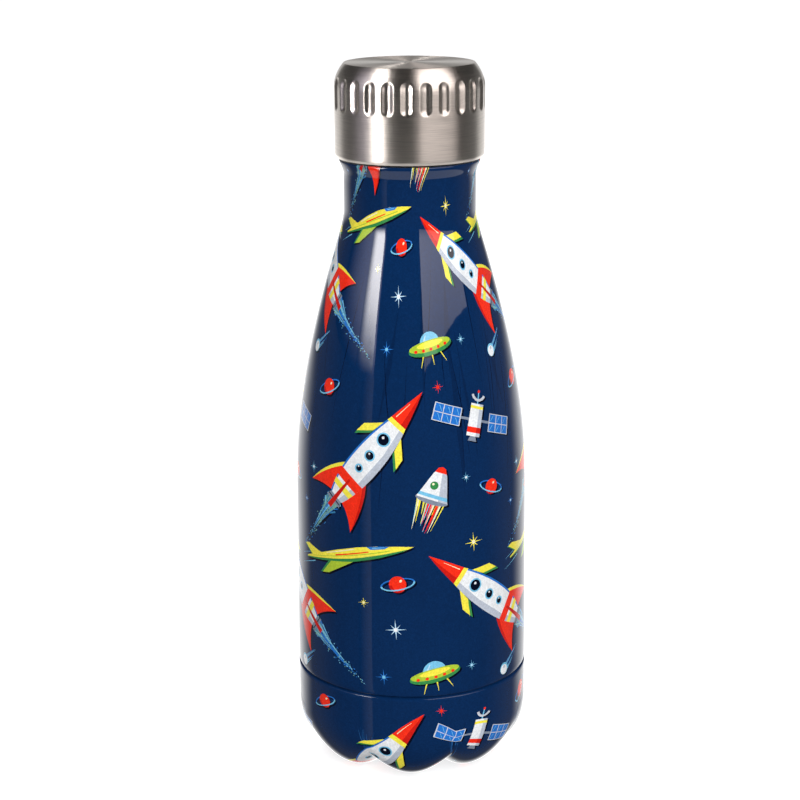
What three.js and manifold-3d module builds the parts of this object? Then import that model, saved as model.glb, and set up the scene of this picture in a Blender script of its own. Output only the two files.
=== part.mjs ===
// A kids' insulated water bottle: a double-walled steel flask in the shape of a small cola
// bottle, on a petal base, closed by a fluted steel screw cap with a threaded stopper inside.
// Millimetres, +Z up. The origin is the centre of the circle that the eight feet stand on,
// and -Y is the front.
import * as THREE from "three";
import { mergeVertices } from "three/addons/utils/BufferGeometryUtils.js";
import Module from "manifold-3d";

const wasm = await Module();
wasm.setup();

// ---------------------------------------------------------------- driving dimensions
const TOTAL_HEIGHT = 196.7;
const BODY_R = 32.3; // outside of the printed body
const SHELL_T = 0.45; // outer steel wall
const FLASK_T = 0.4; // inner steel wall
const FOIL_T = 0.15;
const SEAM_Z = 27.8; // where the base cup meets the outer shell
const SEAM_GAP = 0.5; // height of the groove at that seam
const SHOULDER_Z = 78; // where the straight body starts to curve in
const SHOULDER_TOP = { r: 19.79, z: 150 };
const NECK_R = 18.1;
const WAIST_Z = 168; // the narrow ring under the collar
const COLLAR_R = 19.0;
const COLLAR_TOP_Z = 171;
const LIP_Z = 185.4; // top of the mouth

const FLASK_R = 27.2; // inside of the drink space
const FLASK_FLOOR_Z = 13.5;
const FLASK_SEAM_Z = 28;
const THROAT_R = 13.1;
const MOUTH_R = 15; // root of the thread inside the mouth
const FINISH_R = 16.8; // outside of the bare steel mouth

const PETALS = 8;
const PETAL_TURN = THREE.MathUtils.degToRad(-1.2); // the front petal sits a little to the left
const CUP_R = BODY_R + 0.2; // widest part of the base cup
const AIR_HOLE_R = 0.8; // the air between the two walls is drawn out through this hole
const DISC_SEAT_Z = 5.2; // underside of the ring that the cover disc sits on
const CAP_R = 20.25;
const CAP_T = 0.45;
const CAP_BOTTOM_Z = 171.7;
const FLUTES = 25;
const FLUTE_TURN = THREE.MathUtils.degToRad(-2.5);
const FLUTE_DEPTH = 0.6;

const LEAD = 6; // rise for each turn of the cap
const STARTS = 2;
const THREAD_Z = 174.6; // where the thread inside the mouth begins
const THREAD_STEPS = 36; // for each turn
const PLUG_R = 13.6; // root of the stopper's thread
const PLUG_BORE_R = 10.6;
const STEM_R = 11.9; // the narrow end of the stopper, inside the seal ring
const STEM_Z = 169.7;
const SEAL_R = 13.85;

// ---------------------------------------------------------------- helpers
const v2 = (r, z) => new THREE.Vector2(r, z);
const along = (curve, steps) => curve.getPoints(steps);

function signedArea(points) {
  let sum = 0;
  points.forEach((p, i) => {
    const q = points[(i + 1) % points.length];
    sum += p.x * q.y - q.x * p.y;
  });
  return sum / 2;
}

// A solid of revolution about Z. A profile that doesn't touch the axis is closed on itself.
function revolve(profile, segments) {
  const points = signedArea(profile) > 0 ? profile.slice() : profile.slice().reverse();
  const onAxis = points.some((p) => p.x === 0);
  if (!onAxis) points.push(points[0].clone());
  return new THREE.LatheGeometry(points, segments).rotateX(Math.PI / 2);
}

// Like revolve, but the profile changes with the angle from the front, counter-clockwise
// from above. Every profile has the same number of points, and runs outwards along the
// bottom of the solid and back along its top.
function revolveVarying(profileAt, segments) {
  const closedAt = (angle) => {
    const points = profileAt(angle);
    return points[0].x === 0 ? points : [...points, points[0]];
  };
  const rows = closedAt(0).length;
  const geometry = new THREE.LatheGeometry(closedAt(0), segments);
  const position = geometry.getAttribute("position");
  for (let i = 0; i <= segments; i++) {
    const angle = (2 * Math.PI * (i % segments)) / segments;
    closedAt(angle).forEach((p, j) => {
      position.setXYZ(i * rows + j, p.x * Math.sin(angle), -p.x * Math.cos(angle), p.y);
    });
  }
  return geometry;
}

function toSolid(geometry) {
  const bare = new THREE.BufferGeometry();
  bare.setAttribute("position", geometry.getAttribute("position"));
  bare.setIndex(geometry.getIndex());
  const merged = mergeVertices(bare, 1e-4);
  const solid = new wasm.Manifold(
    new wasm.Mesh({
      numProp: 3,
      vertProperties: merged.getAttribute("position").array,
      triVerts: new Uint32Array(merged.getIndex().array),
    }),
  );
  return solid;
}

function toGeometry(solid) {
  const mesh = solid.getMesh();
  const geometry = new THREE.BufferGeometry();
  geometry.setAttribute("position", new THREE.BufferAttribute(mesh.vertProperties, 3));
  geometry.setIndex(new THREE.BufferAttribute(mesh.triVerts, 1));
  return geometry;
}

function cylinder(r, z0, z1, segments) {
  return revolve([v2(0, z0), v2(r, z0), v2(r, z1), v2(0, z1)], segments);
}

// One start of a screw thread: a ridge of trapezoid section that climbs LEAD for each turn
// from (angle0, z0). It is wide at the root, narrow at the crest and fades out at both ends.
function threadRidge({ angle0, z0, turns, rootR, crestR, buriedR, rootHalf, crestHalf }) {
  const steps = Math.round(turns * THREAD_STEPS);
  const fade = THREAD_STEPS / 6;
  const standsOut = crestR > rootR;
  const corners = [];
  for (let i = 0; i <= steps; i++) {
    const turn = i / THREAD_STEPS;
    const angle = angle0 + turn * 2 * Math.PI;
    const z = z0 + turn * LEAD;
    const share = Math.min(1, Math.max(0.08, Math.min(i, steps - i) / fade));
    const root = { r: buriedR, half: rootHalf };
    const crest = { r: THREE.MathUtils.lerp(rootR, crestR, share), half: crestHalf };
    const [inner, outer] = standsOut ? [root, crest] : [crest, root];
    const section = [
      [inner.r, z - inner.half],
      [outer.r, z - outer.half],
      [outer.r, z + outer.half],
      [inner.r, z + inner.half],
    ];
    section.forEach(([r, h]) => corners.push(r * Math.cos(angle), r * Math.sin(angle), h));
  }
  const faces = [0, 1, 2, 0, 2, 3];
  for (let i = 0; i < steps; i++) {
    for (let k = 0; k < 4; k++) {
      const a = 4 * i + k;
      const b = 4 * i + ((k + 1) % 4);
      faces.push(a, a + 4, b + 4, a, b + 4, b);
    }
  }
  const last = 4 * steps;
  faces.push(last, last + 2, last + 1, last, last + 3, last + 2);
  const geometry = new THREE.BufferGeometry();
  geometry.setAttribute("position", new THREE.Float32BufferAttribute(corners, 3));
  geometry.setIndex(faces);
  return geometry;
}

// Joins every start of a thread to a solid.
function withThread(solid, thread) {
  let made = solid;
  for (let k = 0; k < STARTS; k++) {
    const angle0 = thread.angle0 + (k * 2 * Math.PI) / STARTS;
    made = made.add(toSolid(threadRidge({ ...thread, angle0 })));
  }
  return made;
}

const finishes = {
  print: { color: 0x0e2a5c, roughness: 0.25, metalness: 0.1 },
  steel: { color: 0xb9b6b0, roughness: 0.35, metalness: 1 },
  foil: { color: 0xc9763f, roughness: 0.3, metalness: 1 },
  getter: { color: 0x5c5c60, roughness: 0.8, metalness: 0.5 },
  glass: { color: 0x9aa79a, roughness: 0.2, metalness: 0 },
  plastic: { color: 0xe9e8e4, roughness: 0.5, metalness: 0 },
  foam: { color: 0xf4f2ea, roughness: 0.95, metalness: 0 },
  silicone: { color: 0xe4e6e8, roughness: 0.6, metalness: 0 },
};

function part(name, geometry, finish) {
  const mesh = new THREE.Mesh(geometry, new THREE.MeshStandardMaterial(finishes[finish]));
  mesh.name = name;
  return mesh;
}

// ---------------------------------------------------------------- the bottle
// The shoulder of the outer wall, from the straight body up to the neck, set in by `inset`
// from the outside face.
function shoulder(inset, curveSteps, filletSteps) {
  const top = SHOULDER_TOP;
  const curve = new THREE.CubicBezierCurve(
    v2(BODY_R - inset, SHOULDER_Z),
    v2(BODY_R - inset, SHOULDER_Z + 15.3),
    v2(BODY_R - 0.8 - inset, top.z - 38.8),
    v2(top.r - inset, top.z),
  );
  const fillet = new THREE.QuadraticBezierCurve(
    v2(top.r - inset, top.z),
    v2(NECK_R - inset, top.z + 5.6),
    v2(NECK_R - inset, top.z + 10),
  );
  return [...along(curve, curveSteps), ...along(fillet, filletSteps).slice(1)];
}

function outerShell() {
  const outside = [
    v2(BODY_R, SEAM_Z + SEAM_GAP / 2),
    ...shoulder(0, 8, 3),
    v2(NECK_R, WAIST_Z - 1.2),
    v2(NECK_R - 0.35, WAIST_Z),
    v2(NECK_R + 0.1, WAIST_Z + 1.5),
    v2(COLLAR_R, COLLAR_TOP_Z - 0.4),
    v2(COLLAR_R, COLLAR_TOP_Z),
    v2(FINISH_R, COLLAR_TOP_Z + 0.2),
    v2(FINISH_R, LIP_Z - 1.5),
  ];
  const insideNeckR = NECK_R - SHELL_T;
  const finishInR = FINISH_R - SHELL_T;
  const inside = [
    v2(finishInR, LIP_Z - 1.5),
    v2(finishInR, WAIST_Z + 1),
    v2(insideNeckR, WAIST_Z - 2),
    ...shoulder(SHELL_T, 5, 2).reverse(),
    v2(BODY_R - SHELL_T, SEAM_Z + SEAM_GAP / 2),
  ];
  return revolve([...outside, ...inside], 40);
}

// The side, shoulder and throat of the inner flask, `outset` outside the drink space.
function flaskSide(outset) {
  const r = FLASK_R + outset;
  const neck = v2(16 + outset, 146);
  const throatR = THROAT_R + outset;
  const side = new THREE.CubicBezierCurve(
    v2(r, SHOULDER_Z),
    v2(r, SHOULDER_Z + 14),
    v2(r - 1.2, neck.y - 34),
    neck,
  );
  const fillet = new THREE.QuadraticBezierCurve(neck, v2(throatR, 155), v2(throatR, 160));
  return [v2(r, FLASK_SEAM_Z + 0.15), ...along(side, 5), ...along(fillet, 2).slice(1)];
}

function innerFlask() {
  const seat = { low: STEM_Z - 0.1, high: STEM_Z + 2.7 }; // cone that the seal ring presses on
  const mouthOutR = MOUTH_R + 0.5;
  const rolledLip = [
    v2(mouthOutR, LIP_Z - 1.2),
    v2(FINISH_R + 0.1, LIP_Z - 1.2),
    v2(FINISH_R + 0.1, LIP_Z - 0.5),
    v2(FINISH_R - 0.5, LIP_Z),
    v2(MOUTH_R + 0.4, LIP_Z),
    v2(MOUTH_R, LIP_Z - 0.5),
  ];
  const outline = [
    ...flaskSide(FLASK_T),
    v2(THROAT_R + FLASK_T, seat.low - 0.8),
    v2(mouthOutR, seat.high - 0.8),
    ...rolledLip,
    v2(MOUTH_R, seat.high),
    v2(THROAT_R, seat.low),
    ...flaskSide(0).reverse(),
  ];
  const wall = toSolid(revolve(outline, THREAD_STEPS));
  const threaded = withThread(wall, {
    angle0: 0,
    z0: THREAD_Z,
    turns: 1.25,
    rootR: MOUTH_R,
    crestR: 14.15,
    buriedR: MOUTH_R + 0.25,
    rootHalf: 0.8,
    crestHalf: 0.4,
  });
  return toGeometry(threaded);
}

// The cup welded to the bottom of the inner flask.
function innerFlaskBottom() {
  const face = (outset) => {
    const r = FLASK_R + outset;
    const floor = FLASK_FLOOR_Z - outset;
    const corner = new THREE.QuadraticBezierCurve(v2(16, floor), v2(r, floor), v2(r, floor + 11));
    return [v2(0, floor), ...along(corner, 4), v2(r, FLASK_SEAM_Z - 0.15)];
  };
  return revolve([...face(FLASK_T), ...face(0).reverse()], THREAD_STEPS);
}

// How much of a petal there is at an angle: 1 on its ridge, 0 in the groove beside it.
function petalShare(angle) {
  const pitch = (2 * Math.PI) / PETALS;
  const turn = THREE.MathUtils.euclideanModulo(angle / pitch + 0.5, 1) - 0.5;
  const off = 2 * Math.abs(turn);
  return 0.72 * (1 - off ** 2.84) + 0.28 * (0.5 + 0.5 * Math.cos(Math.PI * off));
}

// A quarter of a superellipse, from the upright wall at `wall` (t = 0) in to `foot` (t = 1).
function cornerPoint(t, foot, wall, power) {
  const angle = (t * Math.PI) / 2;
  const out = Math.cos(angle) ** (2 / power);
  const down = Math.sin(angle) ** (2 / power);
  return v2(foot.x + (wall.x - foot.x) * out, wall.y - (wall.y - foot.y) * down);
}

// The base cup's outside face at an angle from the front petal's ridge, from the air hole in
// its middle out to the seam. Each petal ends in a flat foot at z = 0.
function baseOutside(angle) {
  const share = petalShare(angle);
  const mixed = (petal, groove) => groove.clone().lerp(petal, share);
  const petal = { foot: v2(15, -0.35), wall: v2(CUP_R, 18.5), power: 2.43 };
  const groove = { foot: v2(17.3, 5.06), wall: v2(CUP_R, 15.6), power: 2.18 };
  const middle = [v2(AIR_HOLE_R, 6.4), v2(3.2, 6.4), v2(3.7, DISC_SEAT_Z), v2(8.6, DISC_SEAT_Z)];
  const inner = [mixed(v2(10.2, 2.4), v2(10.6, 5.1)), mixed(v2(12.2, -0.35), v2(13.6, 5.06))];
  const outer = [1, 0.76, 0.54, 0.34, 0.16, 0].map((t) =>
    mixed(
      cornerPoint(t, petal.foot, petal.wall, petal.power),
      cornerPoint(t, groove.foot, groove.wall, groove.power),
    ),
  );
  const points = [...middle, ...inner, ...outer, v2(BODY_R, SEAM_Z - SEAM_GAP / 2)];
  return points.map((p) => v2(p.x, Math.max(0, p.y)));
}

// The inside face of a wall whose outside face is a profile.
function offsetInwards(points, thickness) {
  return points.map((p, i) => {
    const before = points[Math.max(0, i - 1)];
    const after = points[Math.min(points.length - 1, i + 1)];
    const way = after.clone().sub(before).normalize();
    return v2(p.x - way.y * thickness, p.y + way.x * thickness);
  });
}

// The cup that closes the bottom of the outer wall, with a spigot that goes up inside it.
function baseCup() {
  const spigotR = BODY_R - SHELL_T - 0.3;
  const seamZ = SEAM_Z - SEAM_GAP / 2;
  const spigot = [
    v2(spigotR, seamZ),
    v2(spigotR, SEAM_Z + 5),
    v2(spigotR - SHELL_T, SEAM_Z + 5),
    v2(spigotR - SHELL_T, SEAM_Z - 2.5),
  ];
  const profileAt = (angle) => {
    const outside = baseOutside(angle);
    const inside = offsetInwards(outside, SHELL_T).slice(0, -1).reverse();
    inside[inside.length - 1].x = AIR_HOLE_R;
    return [...outside, ...spigot, ...inside];
  };
  return revolveVarying(profileAt, PETALS * 8).rotateZ(PETAL_TURN);
}

// Copper foil wrapped round the straight part of the flask, to throw heat back.
function radiationFoil() {
  const r = FLASK_R + FLASK_T + 0.3;
  const low = FLASK_SEAM_Z + 3;
  const outR = r + FOIL_T;
  return revolve([v2(r, low), v2(outR, low), v2(outR, SHOULDER_Z), v2(r, SHOULDER_Z)], 32);
}

const GETTER_TOP_Z = FLASK_FLOOR_Z - FLASK_T - 0.3;

function getterPill() {
  return cylinder(4, GETTER_TOP_Z - 2, GETTER_TOP_Z, 20);
}

// A small steel stirrup, welded under the flask, that holds the getter pill up.
function getterHolder() {
  const outline = new THREE.Shape();
  const half = 6.5;
  const low = GETTER_TOP_Z - 2.7;
  outline.moveTo(-half, GETTER_TOP_Z);
  outline.lineTo(-half, low);
  outline.lineTo(half, low);
  outline.lineTo(half, GETTER_TOP_Z);
  outline.lineTo(half - 0.4, GETTER_TOP_Z);
  outline.lineTo(half - 0.4, low + 0.4);
  outline.lineTo(0.4 - half, low + 0.4);
  outline.lineTo(0.4 - half, GETTER_TOP_Z);
  outline.closePath();
  const width = 3;
  const strip = new THREE.ExtrudeGeometry(outline, { depth: width, bevelEnabled: false });
  return strip.translate(0, 0, -width / 2).rotateX(Math.PI / 2);
}

// The drop of solder glass that closes the air hole.
function exhaustSealBead() {
  const topZ = DISC_SEAT_Z + 0.9;
  const dome = new THREE.EllipseCurve(0, topZ, 2, 0.7, -Math.PI / 2, 0);
  return revolve([...along(dome, 4), v2(0, topZ)], 16);
}

function exhaustCoverDisc() {
  const topZ = DISC_SEAT_Z - 0.3;
  const r = 7.6;
  const outline = [v2(0, topZ - 0.6), v2(r - 0.3, topZ - 0.6), v2(r, topZ - 0.4), v2(r, topZ)];
  return revolve([...outline, v2(0, topZ)], 32);
}

// ---------------------------------------------------------------- the cap
// 1 in the middle of a flute and 0 on the land between two flutes.
function fluteShare(angle) {
  const pitch = (2 * Math.PI) / FLUTES;
  const turn = THREE.MathUtils.euclideanModulo(angle / pitch + 0.5, 1) - 0.5;
  return 0.5 + 0.5 * Math.cos(Math.PI * Math.min(1, 2.6 * Math.abs(turn)));
}

// The steel outside of the cap: a deep cup, upside down, with short upright flutes pressed
// in round its shoulder.
function capShell() {
  const flatR = 17;
  const bevelZ = 191.2;
  const bevel = new THREE.QuadraticBezierCurve(
    v2(CAP_R, bevelZ),
    v2(CAP_R - 0.4, 194.8),
    v2(flatR, TOTAL_HEIGHT),
  );
  const outside = [
    [v2(0, CAP_BOTTOM_Z), 0],
    [v2(CAP_R - 0.5, CAP_BOTTOM_Z), 0],
    [v2(CAP_R - 0.12, CAP_BOTTOM_Z + 0.4), 0],
    [v2(CAP_R, CAP_BOTTOM_Z + 1.2), 0],
    [v2(CAP_R, 184.3), 0],
    [v2(CAP_R, 185.9), 1],
    [v2(CAP_R, bevelZ), 1],
    [bevel.getPoint(0.25), 0.5],
    [bevel.getPoint(0.5), 0],
    [bevel.getPoint(0.75), 0],
    [v2(flatR, TOTAL_HEIGHT), 0],
    [v2(0, TOTAL_HEIGHT), 0],
  ];
  const profileAt = (angle) => {
    const depth = FLUTE_DEPTH * fluteShare(angle);
    return outside.map(([p, share]) => v2(p.x - share * depth, p.y));
  };
  const block = revolveVarying(profileAt, FLUTES * 4).rotateZ(FLUTE_TURN);
  const wideR = CAP_R - CAP_T;
  const narrowR = wideR - FLUTE_DEPTH;
  const ceilingZ = TOTAL_HEIGHT - CAP_T;
  const hollow = revolve(
    [
      v2(0, CAP_BOTTOM_Z - 1),
      v2(wideR, CAP_BOTTOM_Z - 1),
      v2(wideR, 183.8),
      v2(narrowR, 184.6),
      v2(narrowR, bevelZ),
      v2(narrowR - 0.5, 193.8),
      v2(flatR - 0.3, ceilingZ),
      v2(0, ceilingZ),
    ],
    40,
  );
  return toGeometry(toSolid(block).subtract(toSolid(hollow)));
}

// The plastic inside of the cap: a lining for the skirt, a ceiling over the mouth, and the
// hollow stopper with its thread.
function capLiner() {
  const lining = { inR: 17.6, outR: 19.4, z: CAP_BOTTOM_Z + 0.9 };
  const ceiling = { low: LIP_Z + 0.5, high: LIP_Z + 2.5 };
  const tubeTopZ = TOTAL_HEIGHT - CAP_T - 0.5;
  const wall = revolve(
    [
      v2(lining.inR, lining.z),
      v2(lining.outR, lining.z),
      v2(lining.outR, 183.4),
      v2(lining.outR - 0.6, 184.2),
      v2(lining.outR - 0.6, 190.8),
      v2(lining.outR - 1, 193),
      v2(lining.inR - 0.4, 193),
      v2(lining.inR - 0.4, ceiling.high),
      v2(PLUG_R, ceiling.high),
      v2(PLUG_R, tubeTopZ),
      v2(PLUG_BORE_R, tubeTopZ),
      v2(PLUG_BORE_R, STEM_Z),
      v2(STEM_R, STEM_Z),
      v2(STEM_R, STEM_Z + 3),
      v2(PLUG_R, STEM_Z + 3.6),
      v2(PLUG_R, ceiling.low),
      v2(lining.inR, ceiling.low),
    ],
    THREAD_STEPS,
  );
  const threaded = withThread(toSolid(wall), {
    angle0: 0,
    z0: THREAD_Z + LEAD / STARTS / 2,
    turns: 1.1,
    rootR: PLUG_R,
    crestR: 14.7,
    buriedR: PLUG_R - 0.4,
    rootHalf: 0.8,
    crestHalf: 0.4,
  });
  return toGeometry(threaded);
}

function plugFoam() {
  return cylinder(PLUG_BORE_R - 0.3, STEM_Z + 1.5, TOTAL_HEIGHT - CAP_T - 0.9, 28);
}

// The disc that closes the bottom of the stopper and holds the seal ring on its stem.
function plugEndDisc() {
  const rimR = 12.7;
  const rimZ = STEM_Z - 0.3;
  const spigotR = PLUG_BORE_R - 0.3;
  const rim = [v2(0, rimZ - 1.8), v2(rimR - 0.6, rimZ - 1.8), v2(rimR, rimZ - 1.2), v2(rimR, rimZ)];
  return revolve([...rim, v2(spigotR, rimZ), v2(spigotR, rimZ + 1.5), v2(0, rimZ + 1.5)], 32);
}

// The silicone ring, tapered to sit on the cone inside the mouth.
function sealRing() {
  const holeR = STEM_R + 0.3;
  const outline = [v2(holeR, STEM_Z), v2(12.9, STEM_Z), v2(SEAL_R, STEM_Z + 1.5)];
  outline.push(v2(SEAL_R, STEM_Z + 2.3), v2(SEAL_R - 0.4, STEM_Z + 2.7), v2(holeR, STEM_Z + 2.7));
  return revolve(outline, THREAD_STEPS);
}

// ---------------------------------------------------------------- assembly
const bottle = new THREE.Group();
bottle.add(
  part("outer_shell", outerShell(), "print"),
  part("base_cup", baseCup(), "print"),
  part("inner_flask", innerFlask(), "steel"),
  part("inner_flask_bottom", innerFlaskBottom(), "steel"),
  part("radiation_foil", radiationFoil(), "foil"),
  part("getter_pill", getterPill(), "getter"),
  part("getter_holder", getterHolder(), "steel"),
  part("exhaust_seal_bead", exhaustSealBead(), "glass"),
  part("exhaust_cover_disc", exhaustCoverDisc(), "steel"),
);

const cap = new THREE.Group();
cap.add(
  part("cap_shell", capShell(), "steel"),
  part("cap_liner", capLiner(), "plastic"),
  part("plug_foam", plugFoam(), "foam"),
  part("plug_end_disc", plugEndDisc(), "plastic"),
  part("seal_ring", sealRing(), "silicone"),
);

const model = new THREE.Group();
model.add(bottle, cap);
export default model;
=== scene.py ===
"""The looks of a kids' insulated water bottle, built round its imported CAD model.

Lengths are millimetres until a mesh is written, and metres after that. Angles round the bottle
are measured from the front (-Y), counter-clockwise from above.
"""
import math
import random

import bpy
import numpy as np
from mathutils import Matrix, Vector
from mathutils.geometry import delaunay_2d_cdt


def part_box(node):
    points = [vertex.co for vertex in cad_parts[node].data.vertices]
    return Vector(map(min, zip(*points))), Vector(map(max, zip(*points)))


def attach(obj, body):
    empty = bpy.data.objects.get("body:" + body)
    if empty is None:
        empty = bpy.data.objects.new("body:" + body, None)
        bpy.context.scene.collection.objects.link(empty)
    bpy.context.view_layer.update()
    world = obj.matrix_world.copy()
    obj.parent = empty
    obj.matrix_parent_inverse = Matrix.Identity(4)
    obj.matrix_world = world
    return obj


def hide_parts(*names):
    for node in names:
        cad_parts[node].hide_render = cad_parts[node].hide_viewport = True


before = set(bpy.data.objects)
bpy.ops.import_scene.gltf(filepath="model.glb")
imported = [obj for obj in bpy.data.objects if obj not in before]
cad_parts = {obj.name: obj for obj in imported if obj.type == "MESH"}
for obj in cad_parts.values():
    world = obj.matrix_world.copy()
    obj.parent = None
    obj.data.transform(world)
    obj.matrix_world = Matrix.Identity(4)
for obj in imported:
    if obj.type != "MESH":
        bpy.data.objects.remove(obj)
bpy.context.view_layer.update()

MM = 0.001
TAU = 2 * math.pi


def low(node):
    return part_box(node)[0].z / MM


def high(node):
    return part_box(node)[1].z / MM


def radius(node):
    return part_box(node)[1].x / MM


def span(node):
    """A node's lowest height, its highest height and its radius."""
    return low(node), high(node), radius(node)


# ------------------------------------------------------------------ driving dimensions
TOP_Z = high("cap_shell")
CAP_BOTTOM_Z = low("cap_shell")
CAP_R = radius("cap_shell")
LIP_Z = high("inner_flask")
CUP_R = radius("base_cup")
BODY_R = CUP_R - 0.2
SEAM_Z = low("outer_shell") - 0.25
SHOULDER_Z = 78.0
SHOULDER_TOP = (18.78, 152.75)
NECK_R = 18.05
COLLAR_R = 19.1
COLLAR_Z = 171.0
FINISH_R = 16.8  # the bare mouth wall that the cap hides
SHELL_T = 0.45
FLASK_R = 27.2
FLASK_NECK = (16.0, 146.0)
FLASK_T = 0.4
CAP_T = 0.45
COLUMNS = 180
ON_AXIS = 1e-6  # a smaller radius counts as none

PETALS = 8
PETAL_TURN = math.radians(-1.2)
PETAL_TOP = (CUP_R, 18.5)
PETAL_FOOT = (14.95, 0.0)
GROOVE_TOP = (CUP_R, 15.6)
GROOVE_FOOT = (17.3, 5.06)
MIDDLE_R = 9.6  # the flat in the middle of the base, underneath
MIDDLE_Z = 5.2
DIMPLE_Z = 6.4  # the dimple round the hole that the air left by
HOLE_R = 0.8

FLUTES = 25
FLUTE_TURN = math.radians(-2.5)
FLUTE_WIDTH = 3.3
FLUTE_DEPTH = 0.6
FLUTE_BOTTOM = 184.5
FLUTE_TOP = 193.3
BEVEL_Z = 190.2  # where the cap's side starts to turn in

LEAD = 6.0
STARTS = 2
MOUTH_R = 15.0
THROAT_R = 13.1
THROAT_Z = 160.0
PLUG_R = 13.6
STEM_R = 11.9
PLUG_BORE_R = 10.6
STEM_Z = low("seal_ring")
THREAD_Z = 174.6
RIDGE_ROOT = 0.95  # half the width of a thread's ridge where it leaves the wall
RIDGE_CREST = 0.35  # half its width at the top

PRINT_R = BODY_R  # the print is laid out on a cylinder of this radius
TILE_ANGLE = math.radians(120)
TILE_W = TILE_ANGLE * PRINT_R
TILE_H = 91.0
PRINT_STEP = 2.2  # no edge in the print is longer, so that it follows the bottle's curves

STUDIO_R = 1.2  # metres from the bottle to the lamps
WHITE = (1, 1, 1, 1)


# ------------------------------------------------------------------ curves and profiles
def lerp(a, b, t):
    return a + (b - a) * t


def bezier(points, steps):
    """Points along a Bezier curve of any degree, both ends included."""
    made = []
    for i in range(steps + 1):
        t = i / steps
        row = [Vector(p) for p in points]
        while len(row) > 1:
            row = [a.lerp(b, t) for a, b in zip(row, row[1:])]
        made.append(tuple(row[0]))
    return made


def rounded(corners, steps=4, closed=False):
    """An outline of (r, z, fillet) corners, with each corner cut by a curve that starts
    `fillet` before it and ends `fillet` after it."""
    made = []
    count = len(corners)
    for i, (r, z, fillet) in enumerate(corners):
        here = Vector((r, z))
        is_end = not closed and i in (0, count - 1)
        if fillet == 0 or is_end:
            made.append((r, z))
            continue
        before = Vector(corners[i - 1][:2]) - here
        after = Vector(corners[(i + 1) % count][:2]) - here
        start = here + before.normalized() * min(fillet, before.length / 2)
        end = here + after.normalized() * min(fillet, after.length / 2)
        made += bezier([start, here, end], steps)
    return made


def finer(points, step):
    """The same polyline with no stretch longer than `step`."""
    made = [points[0]]
    for a, b in zip(points, points[1:]):
        n = max(1, math.ceil(math.dist(a, b) / step))
        made += [(lerp(a[0], b[0], i / n), lerp(a[1], b[1], i / n)) for i in range(1, n + 1)]
    return made


class Profile:
    """A polyline in (r, z) that can be read at any distance along it."""

    REACH = 0.25  # half the stretch that a normal is measured over

    def __init__(self, points):
        self.points = np.array(points, float)
        steps = np.linalg.norm(np.diff(self.points, axis=0), axis=1)
        self.at = np.concatenate([[0], np.cumsum(steps)])
        self.length = float(self.at[-1])

    def point(self, s):
        return tuple(np.interp(s, self.at, self.points[:, k]) for k in (0, 1))

    def normal(self, s):
        """The outward normal, for a profile that runs upwards."""
        r0, z0 = self.point(s - self.REACH)
        r1, z1 = self.point(s + self.REACH)
        size = math.hypot(r1 - r0, z1 - z0)
        return (z1 - z0) / size, -(r1 - r0) / size


def wall_profile():
    """The printed outside of the bottle, from the seam groove up to the collar."""
    edge = rounded([(BODY_R - 0.45, SEAM_Z + 0.25, 0), (BODY_R + 0.02, SEAM_Z + 0.3, 0.35),
                    (BODY_R + 0.12, SEAM_Z + 1.6, 0.3), (BODY_R + 0.17, SEAM_Z + 8, 0)])
    side = bezier([edge[-1], (BODY_R + 0.2, 48), (BODY_R - 0.07, 62), (BODY_R - 0.07, SHOULDER_Z)], 12)
    shoulder = bezier([side[-1], (BODY_R - 0.07, 93.3), (31.47, 111.2), (19.61, 150.0)], 26)
    fillet = bezier([SHOULDER_TOP, (NECK_R + 0.02, 155.1), (NECK_R, 157.6)], 7)
    flare = bezier([(NECK_R, 167.4), (NECK_R + 0.05, 168.2), (COLLAR_R - 0.35, 169.4),
                    (COLLAR_R, 170.6)], 8)
    lip = bezier([flare[-1], (COLLAR_R + 0.03, COLLAR_Z + 0.2), (COLLAR_R - 0.3, COLLAR_Z + 0.2)], 4)
    return edge + side[1:] + shoulder[1:] + fillet + flare + lip[1:]


def petal_share(angle):
    """1 on a petal's ridge, 0 in the groove beside it."""
    turn = ((angle - PETAL_TURN) * PETALS / TAU + 0.5) % 1 - 0.5
    off = abs(2 * turn)
    return 0.72 * (1 - off**2.84) + 0.28 * (0.5 + 0.5 * math.cos(math.pi * off))


def corner_point(a, foot, wall, power):
    """A quarter of a superellipse, from the upright wall (a = 0) in to the foot (a = 90 degrees)."""
    out = max(0.0, math.cos(a)) ** (2 / power)
    down = math.sin(a) ** (2 / power)
    return lerp(foot[0], wall[0], out), lerp(wall[1], foot[1], down)


def petal_corner(a):
    """The outside of the base along a petal's ridge."""
    return corner_point(a, PETAL_FOOT, PETAL_TOP, 2.43)


def groove_corner(a):
    """The outside of the base along a groove."""
    return corner_point(a, GROOVE_FOOT, GROOVE_TOP, 2.18)


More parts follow.
